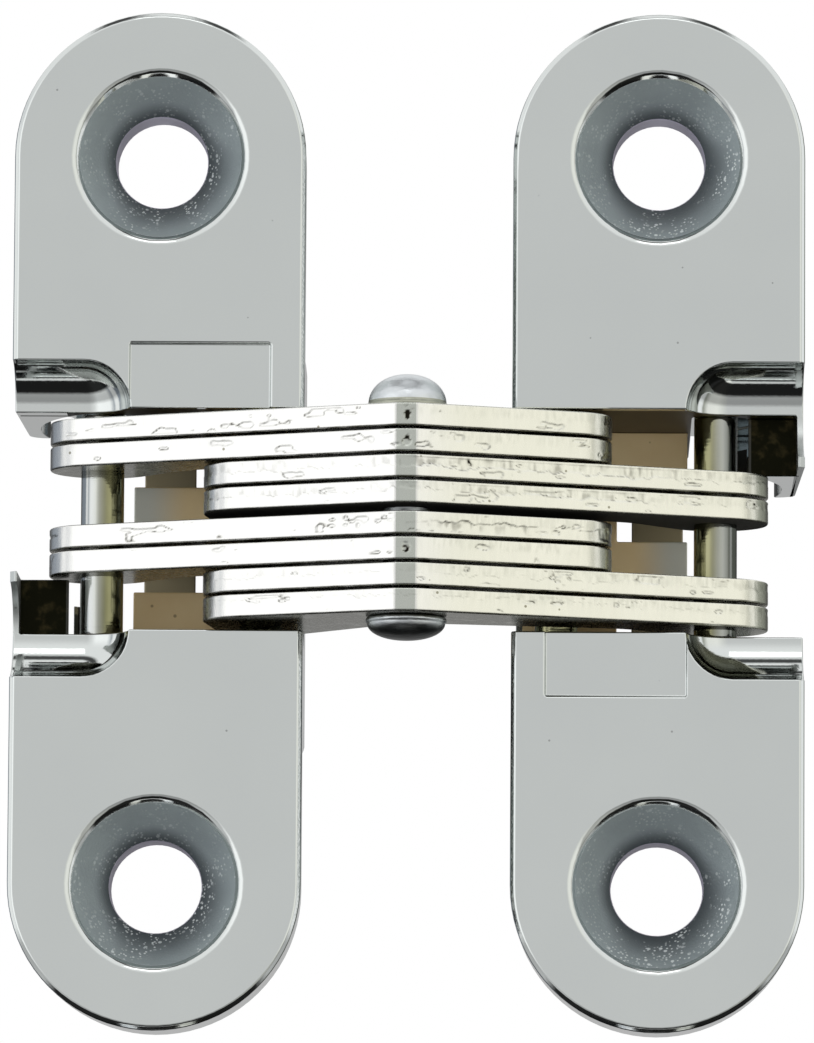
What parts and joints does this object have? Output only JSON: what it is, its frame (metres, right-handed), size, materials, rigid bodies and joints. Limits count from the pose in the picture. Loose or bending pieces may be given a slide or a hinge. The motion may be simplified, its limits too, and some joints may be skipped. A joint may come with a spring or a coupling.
{
  "type": "invisible hinge",
  "caption": "Invisible door hinge: two round-ended mortise leaves joined by crossed stamped links on a centre rivet, fixed pins and sliding pins, shown fully open.",
  "frame": {"origin": "middle of the fully open hinge, half way between the two leaves, on the plane of their faces and half way along them", "axes": "+Z along the pins and the leaves, +X across from the left leaf to the right leaf, -Y out of the leaf faces towards the viewer, +Y into the door and the frame"},
  "size_m": [0.0344, 0.0212, 0.0444],
  "materials": {
    "plated_zinc_casting": "satin chrome plate over a zinc die casting",
    "zinc_plated_steel_link": "bright zinc plate over stamped steel",
    "bright_steel_rivet": "formed and polished steel head",
    "hard_steel_pin": "ground and hardened steel"
  },
  "bodies": {
    "left": {"left_leaf": "plated_zinc_casting", "left_pivot_pin": "hard_steel_pin"},
    "right_arm_set": {"link_3": "zinc_plated_steel_link", "link_4": "zinc_plated_steel_link", "link_7": "zinc_plated_steel_link", "link_8": "zinc_plated_steel_link", "right_slide_pin": "hard_steel_pin"},
    "left_arm_set": {"link_1": "zinc_plated_steel_link", "link_2": "zinc_plated_steel_link", "link_5": "zinc_plated_steel_link", "link_6": "zinc_plated_steel_link", "left_slide_pin": "hard_steel_pin", "centre_rivet": "bright_steel_rivet"},
    "right": {"right_leaf": "plated_zinc_casting", "right_pivot_pin": "hard_steel_pin"}
  },
  "joints": [
    {"name": "left_pivot", "type": "hinge", "parent": "left", "child": "right_arm_set", "pos_m": [-0.00645, 0.00405, 0], "axis": [0, 0, -1], "range_deg": [0, 107.97]},
    {"name": "centre_cross", "type": "hinge", "parent": "right_arm_set", "child": "left_arm_set", "pos_m": [0, -0.0019, 0], "axis": [0, 0, -1], "range_deg": [-35.95, 0]},
    {"name": "right_pivot", "type": "hinge", "parent": "left_arm_set", "child": "right", "pos_m": [0.00645, 0.00405, 0], "axis": [0, 0, -1], "range_deg": [0, 107.97]}
  ],
  "couplings": [
    {"joint": "centre_cross", "follows": "left_pivot", "ratio": -0.33283},
    {"joint": "right_pivot", "follows": "left_pivot", "ratio": 1}
  ]
}
